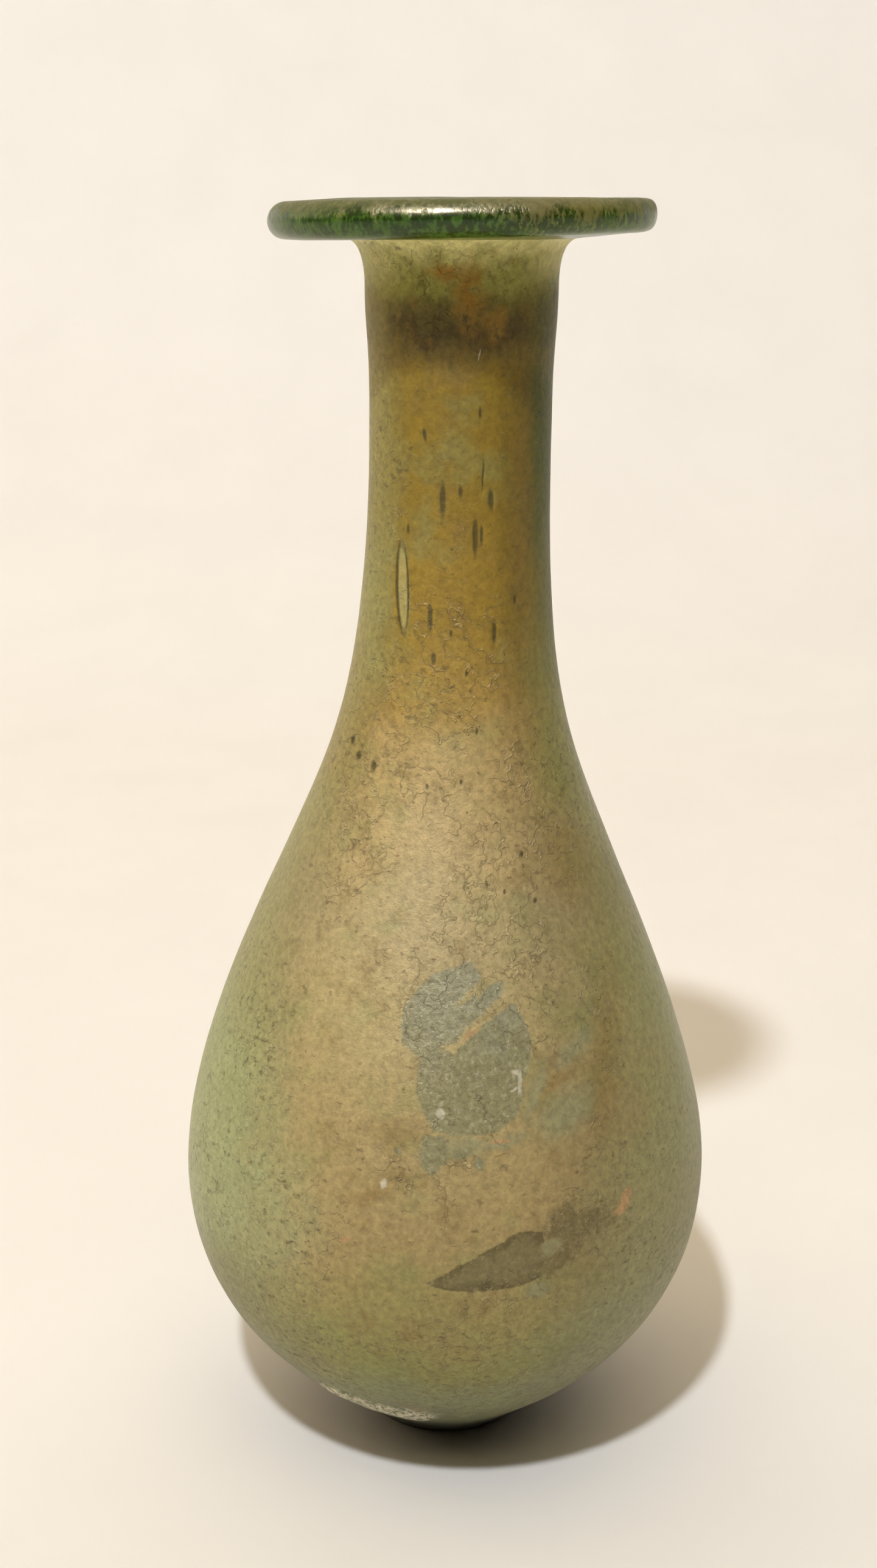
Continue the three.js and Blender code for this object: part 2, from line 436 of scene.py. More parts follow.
@dataclass(eq=False)
class FilmedGlass(Finish):
    """Green soda-lime glass, free-blown, under the satin tan film that long burial leaves on it.

    The film gives the eye a matt, mottled tan, paler on the shoulder and ochre up the neck, with dark pits
    and wrinkles. The paler shoulder is painted light from the lamp, and painted shade darkens the film's far
    sides, the right most, the glass on the right and the foot. At the flask's sides and in patches it has
    worn away, and the green glass shows.
    """

    name: str = "weathered_green_glass_with_tan_film"
    # Film colours up the flask: its own tan and ochre, with the paler tan around the shoulder painted light
    # from the lamp
    film: Sequence[Band] = (
        (9.0, "#757655"), (13.0, "#86895c"), (19.0, "#939054"), (26.0, "#a3955c"), (33.0, "#af9965"),
        (43.0, "#b29d69"), (53.0, "#bba873"), (62.0, "#b9a675"), (70.0, "#c0a872"), (77.0, "#c0a66b"),
        (84.0, "#b09147"), (92.0, "#a2842e"), (104.0, "#967b25"),
    )
    left_glass: Sequence[Band] = (
        (9.0, "#78734f"), (22.0, "#969360"), (33.0, "#afb27e"), (45.0, "#acb079"), (58.0, "#a6a169"),
        (70.0, "#a39e63"), (78.0, "#a89757"), (92.0, "#a69e5c"), (106.0, "#a1934d"),
    )
    # The glass on the right: its green, darkened below the left's and most up the neck as painted shade for
    # that side
    right_glass_painted_shade: Sequence[Band] = (
        (13.0, "#8a8762"), (20.0, "#9b996d"), (30.0, "#9e9a69"), (48.0, "#9a9960"), (62.0, "#928c55"),
        (70.0, "#9c9660"), (79.0, "#928e4e"), (92.0, "#716f31"), (104.0, "#595d1d"),
    )
    sides_meet: Point = (4.0, -6.0)
    # Painted light and shade across the film, by around: lighter just left of the middle, darker towards the
    # far left and most towards the right
    painted_film_light_and_shade: Sequence[Point] = ((-0.9, 0.8), (-0.5, 1.08), (-0.1, 1.0), (0.25, 1.0), (0.6, 0.77))
    worn_left: Sequence[Point] = ((36.0, 0.62), (62.0, 0.86), (76.0, 0.86), (88.0, 0.66))
    worn_right: Sequence[Point] = (
        (22.0, 0.42), (34.0, 0.62), (45.0, 0.75), (58.0, 0.68), (66.0, 0.7), (76.0, 0.78), (88.0, 0.66),
    )
    left_half: Point = (4.0, -2.0)
    right_half: Point = (-2.0, 4.0)
    worn_soft: float = 0.26
    worn_stray: Point = (0.5, 0.3)
    deposit: Sequence[Band] = (
        (113.6, "#9b8242"), (116.2, "#7d6b31"), (118.0, "#5a4e24"), (119.6, "#6f6330"), (122.4, "#98924a"),
    )
    deposit_ends: Sequence[Point] = ((113.2, 117.0), (126.8, 123.6))
    deposit_stray: float = 6.0
    deposit_on_glass: float = 0.45
    ochre: str = "#9a732d"
    ochre_clumps: Step = (0.5, 0.66, 0.5)
    dark_clumps: Step = (0.46, 0.34, 0.6)
    glow_clumps: Point = (0.36, 0.52)
    under_rim: str = "#d8d08c"
    under_rim_heights: Point = (121.0, 124.5)
    brown: str = "#866d3b"
    brown_blotches: Step = (0.5, 0.75, 0.5)
    green_tint: str = "#939a5c"
    tinted: Step = (0.5, 0.68, 0.34)
    pit: str = "#5d4f2c"
    pits: Sequence[Point] = ((1.2, 0.4), (0.6, 0.4))
    pitted: Point = (0.6, 0.7)
    pit_detail: Point = (3.0, 0.6)
    pit_stray: float = 0.24
    pit_flatness: float = 1.5
    wrinkle_sides: Sequence[tuple[float, str, float]] = ((0.5, "#6f5c34", 0.3), (0.52, "#dccaa0", 0.12))
    wrinkle_width: Point = (0.014, 0.003)
    wrinkled: Point = (0.45, 0.6)
    wrinkle_relief: float = 0.6
    slit: str = "#453f1e"
    slit_share: float = 0.8
    lens_share: float = 0.4
    # Painted shade: the foot darkens towards the ground, for the shadow under the belly
    foot: str = "#2f322a"
    foot_painted_shade_heights: Step = (7.0, 2.0, 0.85)
    grey_bare: str = "#9b997b"
    olive_bare: str = "#949069"
    grey_heights: Point = (49.0, 56.0)
    grey_stray: float = 14.0
    flake_edge: Step = (0.14, -0.16, 0.92)
    pale_grit: Step = (0.54, 0.68, 0.4)
    dark_grit: Step = (0.46, 0.34, 0.5)
    in_scratches: float = 0.1
    thin_film: str = "#98976f"
    thin_share: float = 0.7
    blade: str = "#82774e"
    blade_edge: str = "#665a36"
    blade_edges: Step = (0.12, -0.12, 0.95)
    rag_edges: Step = (0.9, -1.4, 0.7)
    rag_stray: Point = (4.0, 5.0)
    blade_darkened: Step = (-1.4, 0.0, 0.8)
    blade_grit: Step = (0.52, 0.64, 0.6)
    in_holes: float = 0.2
    rust: str = "#8f6f38"
    orange: str = "#bd9868"
    white: str = "#d8d0b4"
    crusted: Point = (0.42, 0.56)
    grain_shade: Sequence[float] = (0.3, 0.7, 1.26, 0.76)
    grain_relief: float = 0.14
    film_roughness: float = 0.5
    bare_roughness: float = 0.36
    clearness: float = 0.08
    specular: float = 0.2
    coat: float = 0.06
    sheen: float = 0.12
    sheen_roughness: float = 0.25
    coat_roughness: float = 0.2
    ior: float = 1.5
    mottle: Cloud = (13.0, 3.0, 0.5)
    mottle_rise: float = 16.0
    blotch: Cloud = (3.2, 5.0, 0.6)
    tint: Cloud = (5.5, 4.0, 0.6)
    contour: Cloud = (3.4, 3.0, 0.6)
    clump: Cloud = (1.4, 5.0, 0.7)
    clump_flatness: float = 0.6
    grain: Cloud = (0.7, 4.0, 0.7)
    grit: Cloud = (0.45, 3.0, 0.7)

    def make(self) -> bpy.types.Material:
        """Makes the material of the outside below the rim.

        Returns:
            The finished material.
        """
        grain = self.noise(*self.grain)
        level = self.stray(self.z, self.noise(*self.mottle), self.mottle_rise)
        self.colour = self.bands(self.film, level)
        self.lay(self.step(self.noise(*self.blotch), *self.brown_blotches), self.brown)
        self.lay(self.step(self.noise(*self.tint), *self.tinted), self.green_tint)
        lines = self._wrinkles()
        # Painted light and shade across the film's sides
        self.colour = self.shade(self.colour, self.ramp(self.painted_film_light_and_shade, self.around))
        # The glass on the right carries painted shade
        left, right = self.bands(self.left_glass, level), self.bands(self.right_glass_painted_shade, level)
        worn = self._worn_sides()
        self.lay(worn, self.blend(self.step(self.x, *self.sides_meet), right, left))
        self._deposit(worn)
        self.lay(self.mask(STAINS, ragged=0.5, soft=0.7, most=0.4), self.rust)
        self._pits()
        bare = self._patches()
        self._bubbles()
        # Painted shade darkens the foot
        self.lay(self.step(self.z, *self.foot_painted_shade_heights), self.foot)
        crust = [self.mask(CRUST, ragged=0.7, soft=0.5, grit=0.8), self.step(grain, *self.crusted)]
        self.lay(self.join(crust), self.white)
        self.colour = self.shade(self.colour, self.step(grain, *self.grain_shade, Run.EVEN))
        grainy = self.share(grain, self.grain_relief)
        return self.finish(
            self.number("MULTIPLY_ADD", lines, self.wrinkle_relief, grainy),
            Roughness=self.step(bare, 0.0, 1.0, self.bare_roughness, self.film_roughness),
            Transmission_Weight=self.clearness,
            Ior=self.ior,
            Specular_Ior_Level=self.specular,
            Coat_Weight=self.coat,
            Coat_Roughness=self.coat_roughness,
            Sheen_Weight=self.sheen,
            Sheen_Roughness=self.sheen_roughness,
        )

    def _wrinkles(self) -> Socket:
        """Draws fine wrinkles in parts of the film, dark on one side and pale on the other.

        Returns:
            A mask of their pale sides.
        """
        contour = self.noise(*self.contour)
        wrinkled = self.step(self.noise(*self.mottle), *self.wrinkled)
        for height, colour, most in self.wrinkle_sides:
            off = self.number("ABSOLUTE", self.number("SUBTRACT", contour, height))
            line = self.join([self.step(off, *self.wrinkle_width, most), wrinkled])
            self.lay(line, colour)
        return line

    def _worn_sides(self) -> Socket:
        """Works out where the film has worn thin, at the flask's left and right.

        Returns:
            0 where only the film shows, and 1 where only the glass does.
        """
        aside = self.number("ABSOLUTE", self.around)
        for cloud, reach in zip((self.mottle, self.blotch), self.worn_stray):
            aside = self.stray(aside, self.noise(*cloud), reach)
        worn = []
        for borders, half in ((self.worn_left, self.left_half), (self.worn_right, self.right_half)):
            past = self.number("SUBTRACT", aside, self.ramp(borders, self.z))
            past = self.step(past, -self.worn_soft, self.worn_soft)
            worn.append(self.join([past, self.step(self.x, *half)]))
        return self.join(worn, "MAXIMUM")

    def _deposit(self, worn: Socket) -> None:
        """Darkens the top of the neck with the deposit that dried inside it, mottled with ochre.

        Args:
            worn: Where the film has worn thin, which hides part of the deposit.
        """
        level = self.stray(self.z, self.noise(*self.blotch), self.deposit_stray)
        clump = self.noise(*self.clump, self.drawn_out(self.clump_flatness))
        dried = self.bands(self.deposit, level)
        dried = self.blend(self.step(clump, *self.ochre_clumps), dried, self.ochre)
        dried = self.blend(self.step(clump, *self.dark_clumps), dried, self.deposit[2][1])
        glow = [self.mask(DEPOSIT_GLOW, ragged=0.6, soft=0.9), self.step(clump, *self.glow_clumps)]
        dried = self.blend(self.join(glow), dried, self.ochre)
        self.lay(self.step(self.z, *self.under_rim_heights), self.under_rim)
        shares = [self.step(level, *heights) for heights in self.deposit_ends]
        shares.append(self.step(worn, 0.0, 1.0, self.deposit_on_glass, 1.0))
        self.lay(self.join(shares), dried)

    def _pits(self) -> None:
        """Scatters dark pits in the film, of each size."""
        lying = self.drawn_out(self.pit_flatness)
        for size, darkness in self.pits:
            pitted = self.noise(size, *self.pit_detail, lying)
            pitted = self.stray(pitted, self.noise(*self.mottle), self.pit_stray)
            self.lay(self.step(pitted, *self.pitted, darkness), self.pit)

    def _patches(self) -> Socket:
        """Opens the patches where the film has flaked away, and adds the single flecks by them.

        Returns:
            A mask of the bare glass.
        """
        self.lay(self.mask(BLADE_HALO, ragged=0.6, soft=0.8, most=0.14), self.blade)
        bare = [self._flake(), self._blade()]
        self.lay(self.mask(ORANGE_FLECKS, ragged=0.15, soft=0.4, grit=0.6), self.orange)
        self.lay(self.mask(WHITE_FLECKS, ragged=0.12, soft=0.4, grit=0.6, most=0.8), self.white)
        return self.join(bare, "MAXIMUM")

    def _flake(self) -> Socket:
        """Opens the grey-green patch, with its scratches and the thin film around it.

        Returns:
            A mask of the bare glass.
        """
        grit = self.noise(*self.grit)
        thin = self.mask(FAINT_FLAKE, ragged=0.45, soft=0.6, grit=1.2, most=self.thin_share)
        self.lay(thin, self.thin_film)
        edge = self.stray(self.beyond(FLAKE, ragged=0.2), grit, reach=0.6)
        scratches = self.mask(FLAKE_SCRATCHES, ragged=0.15, soft=0.5, grit=0.6)
        kept = self.step(scratches, 0.0, 1.0, self.in_scratches, 1.0)
        flake = self.join([self.step(edge, *self.flake_edge), kept])
        spots = self.mask(FLAKE_SPOTS, ragged=0.2, soft=0.3, grit=0.6)
        flake = self.join([flake, spots], "MAXIMUM")
        level = self.stray(self.z, self.noise(*self.blotch), self.grey_stray)
        ground = self.blend(self.step(level, *self.grey_heights), self.olive_bare, self.grey_bare)
        ground = self.blend(self.step(grit, *self.pale_grit), ground, self.white)
        ground = self.blend(self.step(grit, *self.dark_grit), ground, self.blade_edge)
        self.lay(flake, ground)
        return flake

    def _blade(self) -> Socket:
        """Opens the dark patch low on the right: a blade, its rags, and the holes in them.

        Returns:
            A mask of the bare glass.
        """
        grit, blotch = self.noise(*self.grit), self.noise(*self.blotch)
        edge = self.stray(self.beyond(BLADE, ragged=0.12), grit, reach=0.5)
        rags = self.beyond(BLADE_RAGS, ragged=0.5)
        for noise, reach in zip((grit, blotch), self.rag_stray):
            rags = self.stray(rags, noise, reach)
        holes = self.mask(BLADE_HOLES, ragged=0.3, soft=0.5)
        dark = [self.step(edge, *self.blade_edges), self.step(rags, *self.rag_edges)]
        dark = self.join(dark, "MAXIMUM")
        dark = self.join([dark, self.step(holes, 0.0, 1.0, self.in_holes, 1.0)])
        inward = self.stray(edge, blotch, reach=3.0)
        shade = self.blend(self.step(inward, *self.blade_darkened), self.blade, self.blade_edge)
        shade = self.blend(self.step(grit, *self.blade_grit), shade, self.olive_bare)
        self.lay(self.share(holes, self.thin_share), self.thin_film)
        self.lay(dark, shade)
        return dark

    def _bubbles(self) -> None:
        """Draws the long bubbles in the neck: dark slits, and one clear lens with a dark outline."""
        slits = self.mask(BUBBLES, ragged=0.03, soft=0.45, grit=0.8)
        lens = self.mask(LONG_BUBBLE, ragged=0.02, soft=0.12, grit=0.8)
        heart = self.mask(BUBBLE_HEART, ragged=0.02, soft=0.2, grit=0.8)
        dark = self.join([slits, self.number("SUBTRACT", lens, heart)], "MAXIMUM")
        self.lay(self.share(dark, self.slit_share), self.slit)
        self.lay(self.share(heart, self.lens_share), self.under_rim)


@dataclass(eq=False)
class BareGlass(Finish):
    """The same green glass where it was folded into a thick rim and kept its fire polish.

    It gives the eye a deep, glossy green with light flecks in it and a broad highlight, an olive film along
    its top, and rags of tan film on the right.
    """

    name: str = "fire_polished_green_glass"
    deep_green: str = "#2e4913"
    light_green: str = "#5c8a30"
    flecked: Step = (0.46, 0.58, 0.95)
    fleck_stray: float = 0.7
    olive: str = "#676d12"
    olive_top: Step = (128.3, 129.4, 0.9)
    olive_underside: Step = (126.7, 126.1, 0.7)
    film: str = "#8f864e"
    film_spread: Sequence[Point] = (
        (-17.0, 0.56), (-15.0, 0.46), (-11.0, 0.44), (2.0, 0.46), (5.0, 0.57), (8.0, 0.66), (13.0, 0.6),
        (15.0, 0.52),
    )
    film_rise: Sequence[float] = (126.5, 130.0, 0.16, -0.2)
    film_stray: float = 0.5
    film_edge: Step = (1.0, 1.24, 0.85)
    film_grain: Sequence[float] = (0.3, 0.7, 1.25, 0.75)
    fleck_relief: float = 0.02
    film_relief: float = 0.04
    roughness: float = 0.25
    film_roughness: float = 0.5
    specular: float = 0.3
    film_specular: float = 0.12
    clearness: float = 0.5
    ior: float = 1.5
    fleck: Cloud = (0.4, 3.0, 0.6)
    patch: Cloud = (2.0, 4.0, 0.7)
    flatness: float = 0.55

    def make(self) -> bpy.types.Material:
        """Makes the material of the rim.

        Returns:
            The finished material.
        """
        drawn = self.drawn_out(self.flatness)
        fleck, patch = self.noise(*self.fleck, drawn), self.noise(*self.patch, drawn)
        flecked = self.step(self.stray(fleck, patch, self.fleck_stray), *self.flecked)
        self.colour = self.blend(flecked, self.deep_green, self.light_green)
        high = self.stray(self.stray(self.z, patch, reach=3.0), fleck, reach=2.0)
        top = self.step(high, *self.olive_top)
        low = self.step(self.stray(self.z, fleck, reach=1.6), *self.olive_underside)
        self.lay(self.join([top, low], "MAXIMUM"), self.olive)
        spread = self.ramp(self.film_spread, self.x)
        rise = self.step(self.z, *self.film_rise, Run.EVEN)
        worn = self.stray(self.join([spread, rise, patch], "ADD"), fleck, self.film_stray)
        film = self.step(worn, *self.film_edge)
        self.lay(film, self.shade(self.film, self.step(fleck, *self.film_grain, Run.EVEN)))
        matt = self.join([film, top], "MAXIMUM")
        raised = self.share(film, self.film_relief)
        return self.finish(
            self.number("MULTIPLY_ADD", fleck, self.fleck_relief, raised),
            Roughness=self.step(matt, 0.0, 1.0, self.film_roughness, self.roughness),
            Transmission_Weight=self.clearness,
            Specular_Ior_Level=self.step(matt, 0.0, 1.0, self.film_specular, self.specular),
            Ior=self.ior,
        )


@dataclass(eq=False)
class DriedDeposit(Finish):
    """The inside wall, coated with earth and dried oil: matt, brown in the neck and tan in the body."""

    name: str = "dried_earth_and_oil"
    tan: str = "#8f7a50"
    brown: str = "#3d3219"
    brown_heights: Point = (100.0, 130.0)
    brown_stray: float = 30.0
    roughness: float = 0.75
    relief: float = 0.4
    blotch: Cloud = (5.0, 6.0, 0.65)

    def make(self) -> bpy.types.Material:
        """Makes the material of the inside wall.

        Returns:
            The finished material.
        """
        blotch = self.noise(*self.blotch)
        level = self.number("MULTIPLY_ADD", blotch, self.brown_stray, self.z)
        self.colour = self.blend(self.step(level, *self.brown_heights), self.tan, self.brown)
        return self.finish(self.share(blotch, self.relief), Roughness=self.roughness)


@dataclass(eq=False)
class MattPaper(Finish):
    """Pale, uncoated paper, a little cloudy."""

    name: str = "matt_paper"
    paper: str = "#eee9e1"
    fibre: Cloud = (30.0, 5.0, 0.5)
    fibre_shade: Point = (1.03, 0.96)
    roughness: float = 0.95
    specular: float = 0.1

    def make(self) -> bpy.types.Material:
        """Makes the material of the ground and the backdrop.

        Returns:
            The finished material.
        """
        cloudy = self.step(self.noise(*self.fibre), 0.0, 1.0, *self.fibre_shade, Run.EVEN)
        self.colour = self.shade(self.paper, cloudy)
        return self.finish(Roughness=self.roughness, Specular_Ior_Level=self.specular)


@dataclass(frozen=True)
class Outline:
    """The flask's section, as radii and heights."""

    height: float
    belly_radius: float
    belly_height: float = 30.1
    belly_fullness: Point = (18.0, 11.6)
    base_radius: float = 8.8
    foot_slope: float = 1.13
    foot_fullness: float = 8.5
    kick_radius: float = 5.4
    kick_depth: float = 1.0
    shoulder: Point = (18.0, 63.0)
    shoulder_slope: float = 0.42
    shoulder_fullness: Point = (3.4, 13.8)
    neck: Point = (9.05, 107.9)
    neck_fullness: Point = (27.1, 9.0)
    neck_top: Point = (9.5, 121.5)
    neck_top_fullness: float = 4.0
    rim_radius: float = 18.65
    rim_root: Point = (11.3, 126.0)
    rim_underside_rise: float = 0.25
    rim_edge_width: float = 1.9
    mouth_radius: float = 9.4
    mouth_depth: float = 4.8
    wall_belly: float = 1.6
    wall_shoulder: float = 1.8
    wall_neck: float = 2.0
    floor_height: float = 3.2
    floor_fullness: float = 12.0
    outer_step: float = 0.62
    rim_step: float = 0.4
    inner_step: float = 1.8

    @property
    def rim_edge(self) -> Point:
        """Where the rim's round edge starts on the underside."""
        return self.rim_radius - self.rim_edge_width, self.rim_root[1] + self.rim_underside_rise

    def curve(self, start: Point, leave: Point, arrive: Point, end: Point, step: float) -> list[Point]:
        """Follows a curve between two points.

        Args:
            start: The first point.
            leave: The handle that the curve leaves along.
            arrive: The handle that it arrives along.
            end: The last point.
            step: The spacing of the points.

        Returns:
            Points along the curve, with both ends.
        """
        handles = [Vector(p) for p in (start, leave, arrive, end)]
        rough = interpolate_bezier(*handles, MEASURING_POINTS)
        length = sum((b - a).length for a, b in zip(rough, rough[1:]))
        return [tuple(p) for p in interpolate_bezier(*handles, max(2, round(length / step) + 1))]

    def ease(self, start: Point, corner: Point, end: Point, step: float) -> list[Point]:
        """Rounds a corner with one curve, and gives points along it with both ends."""
        handles = [tuple(Vector(p).lerp(Vector(corner), 2 / 3)) for p in (start, end)]
        return self.curve(start, handles[0], handles[1], end, step)

    def wall(self, foot: Point, leave: Point, radii: Sequence[float], step: float) -> list[Point]:
        """Follows the wall from its foot to the top of the neck.

        Args:
            foot: The point at the bottom.
            leave: The handle that the curve leaves it along.
            radii: The radii at the belly, at the shoulder, at the neck and at the neck's top.
            step: The spacing of the points.

        Returns:
            Points up the wall.
        """
        belly, shoulder, neck, top = radii
        low, high, end = self.belly_height, self.neck[1], self.neck_top[1]
        along = Vector((-self.shoulder_slope, 1.0)).normalized()
        middle = Vector((shoulder, self.shoulder[1]))
        below, above = (along * fullness for fullness in self.shoulder_fullness)
        swell, slim = self.belly_fullness, self.neck_fullness
        return [
            *self.curve(foot, leave, (belly, low - swell[0]), (belly, low), step),
            *self.curve((belly, low), (belly, low + swell[1]), middle - below, middle, step)[1:],
            *self.curve(middle, middle + above, (neck, high - slim[0]), (neck, high), step)[1:],
            *self.curve((neck, high), (neck, high + slim[1]), (top, end - self.neck_top_fullness), (top, end),
                        step)[1:],
        ]

    def stretches(self) -> list[tuple[Zone, list[Point]]]:
        """Follows the whole section from the axis under the base to the axis on the floor inside.

        Returns:
            The stretches of the wall in order, each with its zone. Neighbours share a point.
        """
        root, edge, step = self.rim_root, self.rim_edge, self.rim_step
        radii = (self.belly_radius, self.shoulder[0], self.neck[0], self.neck_top[0])
        walls = (self.wall_belly, self.wall_shoulder, self.wall_neck, self.wall_neck)
        inner_radii = [radius - wall for radius, wall in zip(radii, walls)]
        bore_top = inner_radii[-1]
        lip = (self.mouth_radius, self.height)
        middle = (edge[1] + self.height) / 2
        half = (self.rim_edge_width, self.height - middle)
        turns = np.linspace(-math.pi / 2, math.pi / 2, round(2 * math.pi * max(half) / step) + 1)
        rise = Vector((1.0, self.foot_slope)).normalized() * self.foot_fullness
        foot = (self.base_radius + rise.x, rise.y)
        film = [
            *self.ease((0.0, self.kick_depth), (self.kick_radius / 2, self.kick_depth),
                       (self.kick_radius, 0.0), self.outer_step),
            *self.curve((self.kick_radius, 0.0), (self.kick_radius, 0.0), (self.base_radius, 0.0),
                        (self.base_radius, 0.0), self.outer_step)[1:],
            *self.wall((self.base_radius, 0.0), foot, radii, self.outer_step)[1:],
            *self.ease(self.neck_top, (self.neck_top[0], root[1]), root, step)[1:],
        ]
        rim = [
            *self.curve(root, root, edge, edge, step),
            *((edge[0] + half[0] * math.cos(a), middle + half[1] * math.sin(a)) for a in turns[1:]),
            *self.curve((edge[0], self.height), (edge[0], self.height), lip, lip, step)[1:],
            *self.ease(lip, (bore_top, self.height), (bore_top, self.height - self.mouth_depth), step)[1:],
        ]
        inside = [
            *self.wall((0.0, self.floor_height), (self.floor_fullness, self.floor_height), inner_radii,
                       self.inner_step),
            (bore_top, self.height - self.mouth_depth),
        ]
        return [(Zone.FILM, film), (Zone.RIM, rim), (Zone.INSIDE, inside[::-1])]


@dataclass
class Flask:
    """The whole flask: one closed wall of glass, turned from its section and then let sag and weather."""

    outline: Outline
    segments: int = 240
    lean: float = 1.55
    lean_range: Point = (42.0, 120.0)
    rim_top_droop: float = 0.4
    rim_underside_droop: float = 0.9
    square_edge: float = 0.5
    square_range: Point = (0.5, 1.0)
    waves: Sequence[Point] = ((22.0, 0.2), (5.0, 0.06))
    wave_detail: int = 2
    bubble_dent: float = 0.1
    crust_height: float = 0.3
    mark_edge: Point = (1.2, 0.8)
    flake_depth: float = 0.05
    flake_edge: Point = (0.4, -0.4)
    wall: bpy.types.Object = field(init=False)

    def build(self) -> bpy.types.Object:
        """Models the wall.

        Returns:
            The flask's object.
        """
        self._turn()
        self._settle()
        for size, depth in self.waves:
            self._ripple(size, depth)
        self._weather()
        bpy.ops.object.shade_smooth()
        return self.wall

    def dress(self, finishes: dict[Zone, bpy.types.Material]) -> None:
        """Gives each zone of the wall its finish.

        Args:
            finishes: The material of each zone.
        """
        for zone in Zone:
            self.wall.data.materials.append(finishes[zone])
        bpy.ops.object.mode_set(mode="EDIT")
        for zone in (Zone.RIM, Zone.INSIDE):
            bpy.ops.mesh.select_all(action="DESELECT")
            self.wall.vertex_groups.active_index = self.wall.vertex_groups[zone.group].index
            bpy.ops.object.vertex_group_select()
            self.wall.active_material_index = zone.value
            bpy.ops.object.material_slot_assign()
        bpy.ops.object.mode_set(mode="OBJECT")
        self.wall.vertex_groups.clear()

    def _turn(self) -> None:
        """Extrudes the section point by point from one vertex, and spins it round into a closed wall."""
        stretches = self.outline.stretches()
        chain = stretches[0][1] + [p for _, points in stretches[1:] for p in points[1:]]
        corners = [Vector((radius * MM, 0.0, height * MM)) for radius, height in chain]
        self.wall = draw_chain("flask_wall", corners)
        bpy.ops.object.mode_set(mode="OBJECT")
        start = 0
        for zone, points in stretches:
            group = self.wall.vertex_groups.new(name=zone.group)
            group.add(range(start, start + len(points)), 1.0, "REPLACE")
            start += len(points) - 1
        bpy.ops.object.mode_set(mode="EDIT")
        bpy.ops.mesh.select_all(action="SELECT")
        bpy.ops.mesh.spin(steps=self.segments, angle=math.tau, center=(0, 0, 0), axis=(0, 0, 1))
        bpy.ops.mesh.select_all(action="SELECT")
        bpy.ops.mesh.remove_doubles(threshold=SAME_POINT)
        bpy.ops.mesh.normals_make_consistent(inside=False)
        bpy.ops.object.mode_set(mode="OBJECT")

    def _places(self) -> np.ndarray:
        """Reads the wall's vertices, in millimetres."""
        flat = np.empty(len(self.wall.data.vertices) * 3, np.float32)
        self.wall.data.vertices.foreach_get("co", flat)
        return flat.reshape(-1, 3).astype(float) / MM

    def _move_to(self, places: np.ndarray) -> None:
        """Moves the wall's vertices to new places, in millimetres."""
        self.wall.data.vertices.foreach_set("co", (places * MM).astype(np.float32).ravel())
        self.wall.data.update()

    def _settle(self) -> None:
        """Leans the neck, droops one side of the rim and squares its edge on the other, as hot glass sags."""
        line = self.outline
        places = self._places()
        x, y, z = places.T
        radius = np.hypot(x, y)
        edge, under = line.rim_edge
        across = x / line.rim_radius
        on_edge = (radius > edge) & (z > under - EDGE_SLACK)
        bulge = np.clip((radius - edge) / line.rim_edge_width, 0, 1)
        square = self.square_edge * smooth_step(across, *self.square_range)
        wider = np.where(on_edge, (edge + line.rim_edge_width * bulge ** (1 - square)) / radius.clip(1), 1.0)
        outward = smooth_step(radius, line.neck_top[0], line.rim_radius) * (z > line.neck_top[1])
        up_rim = np.clip((z - line.rim_root[1]) / (line.height - line.rim_root[1]), 0, 1)
        under_droop = self.rim_underside_droop * across / 2
        top_droop = self.rim_top_droop * (across - 1) / 2
        lean = self.lean * smooth_step(z, *self.lean_range)
        droop = outward * (under_droop * (1 - up_rim) + top_droop * up_rim)
        self._move_to(np.stack([x * wider + lean, y * wider, z + droop], axis=1))

    def _ripple(self, size: float, depth: float) -> None:
        """Dents the outside with soft waves.

        Args:
            size: The size of the waves, in millimetres.
            depth: How deep they go.
        """
        texture = bpy.data.textures.new("waves", "CLOUDS")
        texture.noise_scale = size * MM
        texture.noise_depth = self.wave_detail
        for zone in (Zone.FILM, Zone.RIM):
            bpy.ops.object.modifier_add(type="DISPLACE")
            waves = self.wall.modifiers[-1]
            waves.texture = texture
            waves.texture_coords = "LOCAL"
            waves.mid_level = 0.0
            waves.strength = -depth * MM
            waves.vertex_group = zone.group
            bpy.ops.object.modifier_apply(modifier=waves.name)

    def _weather(self) -> None:
        """Sinks the bubbles and the flaked patches into the front, and raises the crust by the base."""
        places = self._places()
        x, y, z = places.T
        normals = np.empty(len(places) * 3, np.float32)
        self.wall.data.vertex_normals.foreach_get("vector", normals)
        normals = normals.reshape(-1, 3)
        front = (y < 0) & (normals[:, 1] * y > 0)
        rise = np.zeros(len(places))
        for marks, height in ((BUBBLES + LONG_BUBBLE, -self.bubble_dent), (CRUST, self.crust_height)):
            reach = np.min([mark.reach(x, z) for mark in marks], axis=0)
            rise += np.where(front, height * smooth_step(reach, *self.mark_edge), 0)
        beyond = np.min([shard.beyond(x, z) for shard in FLAKE + BLADE], axis=0)
        rise += np.where(front, -self.flake_depth * smooth_step(beyond, *self.flake_edge), 0)
        places += normals * rise[:, None]
        low, high = places.min(axis=0), places.max(axis=0)
        size = np.array([2 * self.outline.belly_radius, 2 * self.outline.belly_radius, self.outline.height])
        middle = np.array([(low[0] + high[0]) / 2, (low[1] + high[1]) / 2, low[2]])
        self._move_to((places - middle) * size / (high - low))


